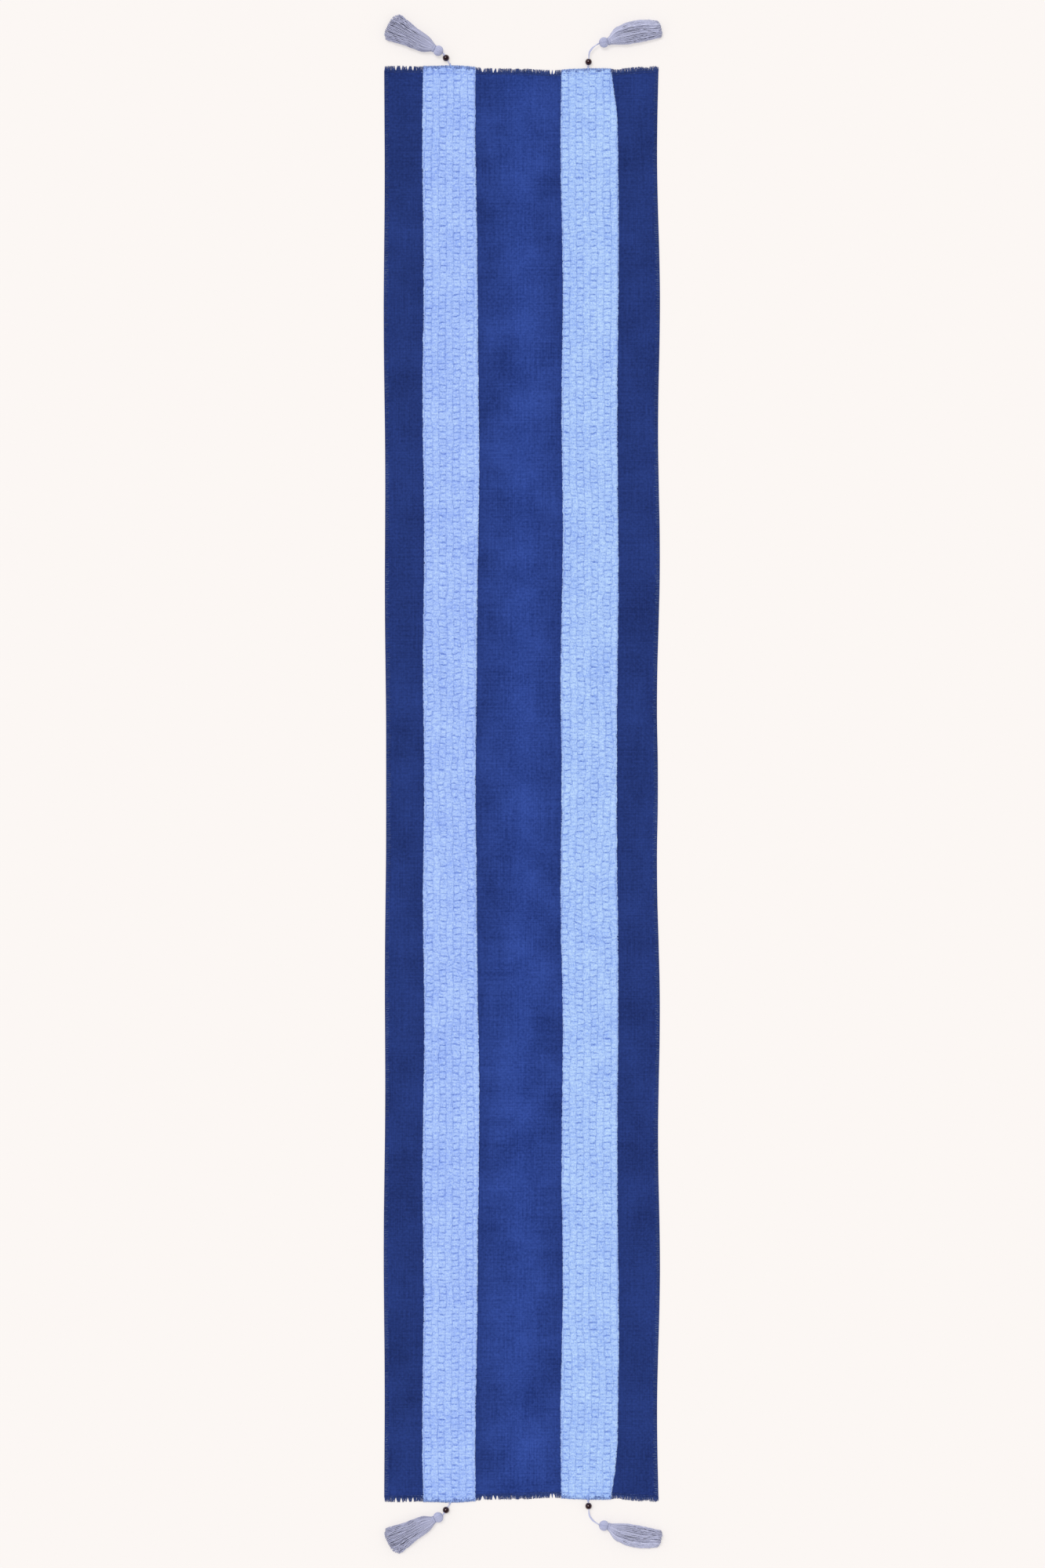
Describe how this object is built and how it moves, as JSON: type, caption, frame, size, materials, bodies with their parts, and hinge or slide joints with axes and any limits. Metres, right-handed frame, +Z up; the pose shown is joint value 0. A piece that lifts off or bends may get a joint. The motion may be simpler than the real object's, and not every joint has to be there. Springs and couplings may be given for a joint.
{
  "type": "table runner",
  "caption": "Long narrow woven cotton runner with two textured lengthwise stripes, fringed ends and a beaded yarn tassel on a cord at the end of each stripe.",
  "frame": {"origin": "middle of the underside, on the surface that the runner lies on", "axes": "+Y along the length towards the top end, +X across it to the right as seen from above, +Z up out of the striped face"},
  "size_m": [0.3577, 1.9688, 0.0134],
  "materials": {
    "ground_cotton": "plain-woven cotton, matt, washed",
    "fringe_cotton": "loose cotton warp ends, matt",
    "stripe_cotton": "puckered loose cotton weave, matt, with frayed edges",
    "navy_thread": "sewing thread",
    "stripe_thread": "sewing thread",
    "tassel_yarn": "twisted cotton yarn, matt",
    "tassel_cord": "twisted cotton cord, matt",
    "bead_wood": "dark stained wood, lightly polished"
  },
  "bodies": {
    "runner": {"ground_cloth": "ground_cotton", "end_fringe_top": "fringe_cotton", "end_fringe_bottom": "fringe_cotton", "stripe_left": "stripe_cotton", "stripe_right": "stripe_cotton", "side_stitch_left": "navy_thread", "side_stitch_right": "navy_thread", "stripe_stitch_left_west": "stripe_thread", "stripe_stitch_left_east": "stripe_thread", "stripe_stitch_right_west": "stripe_thread", "stripe_stitch_right_east": "stripe_thread", "stay_stitch_top": "navy_thread", "stay_stitch_bottom": "navy_thread", "bar_tack_top_left": "tassel_cord", "bar_tack_top_right": "tassel_cord", "bar_tack_bottom_left": "tassel_cord", "bar_tack_bottom_right": "tassel_cord"},
    "knot_top_left": {"knot_top_left": "tassel_cord"},
    "tassel_top_left": {"cord_top_left": "tassel_cord", "head_top_left": "tassel_yarn", "binding_top_left": "tassel_cord", "skirt_top_left": "tassel_yarn"},
    "bead_top_left": {"bead_top_left": "bead_wood"},
    "knot_top_right": {"knot_top_right": "tassel_cord"},
    "tassel_top_right": {"cord_top_right": "tassel_cord", "head_top_right": "tassel_yarn", "binding_top_right": "tassel_cord", "skirt_top_right": "tassel_yarn"},
    "bead_top_right": {"bead_top_right": "bead_wood"},
    "knot_bottom_left": {"knot_bottom_left": "tassel_cord"},
    "tassel_bottom_left": {"cord_bottom_left": "tassel_cord", "head_bottom_left": "tassel_yarn", "binding_bottom_left": "tassel_cord", "skirt_bottom_left": "tassel_yarn"},
    "bead_bottom_left": {"bead_bottom_left": "bead_wood"},
    "knot_bottom_right": {"knot_bottom_right": "tassel_cord"},
    "tassel_bottom_right": {"cord_bottom_right": "tassel_cord", "head_bottom_right": "tassel_yarn", "binding_bottom_right": "tassel_cord", "skirt_bottom_right": "tassel_yarn"},
    "bead_bottom_right": {"bead_bottom_right": "bead_wood"}
  },
  "joints": [
    {"name": "cord_swing_top_left", "type": "hinge", "parent": "runner", "child": "knot_top_left", "pos_m": [-0.092, 0.91941, 0.0026], "axis": [0, 0, 1], "range_deg": [-50, 15]},
    {"name": "tassel_lift_top_left", "type": "hinge", "parent": "knot_top_left", "child": "tassel_top_left", "pos_m": [-0.092, 0.91941, 0.0026], "axis": [0.5741, 0.8188, 0], "range_deg": [-90, 120]},
    {"name": "bead_slide_top_left", "type": "slide", "parent": "tassel_top_left", "child": "bead_top_left", "axis": [-0.5211, 0.8156, 0.2515], "range_m": [-0.003, 0]},
    {"name": "cord_swing_top_right", "type": "hinge", "parent": "runner", "child": "knot_top_right", "pos_m": [0.0849, 0.91579, 0.0026], "axis": [0, 0, 1], "range_deg": [-15, 45]},
    {"name": "tassel_lift_top_right", "type": "hinge", "parent": "knot_top_right", "child": "tassel_top_right", "pos_m": [0.0849, 0.91579, 0.0026], "axis": [0.5565, -0.8309, 0], "range_deg": [-90, 110]},
    {"name": "bead_slide_top_right", "type": "slide", "parent": "tassel_top_right", "child": "bead_top_right", "axis": [0.0646, 0.9556, 0.2873], "range_m": [0, 0.0049]},
    {"name": "cord_swing_bottom_left", "type": "hinge", "parent": "runner", "child": "knot_bottom_left", "pos_m": [-0.092, -0.91941, 0.0026], "axis": [0, 0, 1], "range_deg": [-15, 50]},
    {"name": "tassel_lift_bottom_left", "type": "hinge", "parent": "knot_bottom_left", "child": "tassel_bottom_left", "pos_m": [-0.092, -0.91941, 0.0026], "axis": [-0.5741, 0.8188, 0], "range_deg": [-90, 120]},
    {"name": "bead_slide_bottom_left", "type": "slide", "parent": "tassel_bottom_left", "child": "bead_bottom_left", "axis": [-0.5211, -0.8156, 0.2515], "range_m": [-0.003, 0]},
    {"name": "cord_swing_bottom_right", "type": "hinge", "parent": "runner", "child": "knot_bottom_right", "pos_m": [0.0849, -0.91579, 0.0026], "axis": [0, 0, 1], "range_deg": [-45, 15]},
    {"name": "tassel_lift_bottom_right", "type": "hinge", "parent": "knot_bottom_right", "child": "tassel_bottom_right", "pos_m": [0.0849, -0.91579, 0.0026], "axis": [-0.5565, -0.8309, 0], "range_deg": [-90, 110]},
    {"name": "bead_slide_bottom_right", "type": "slide", "parent": "tassel_bottom_right", "child": "bead_bottom_right", "axis": [0.0646, -0.9556, 0.2873], "range_m": [0, 0.0049]}
  ]
}
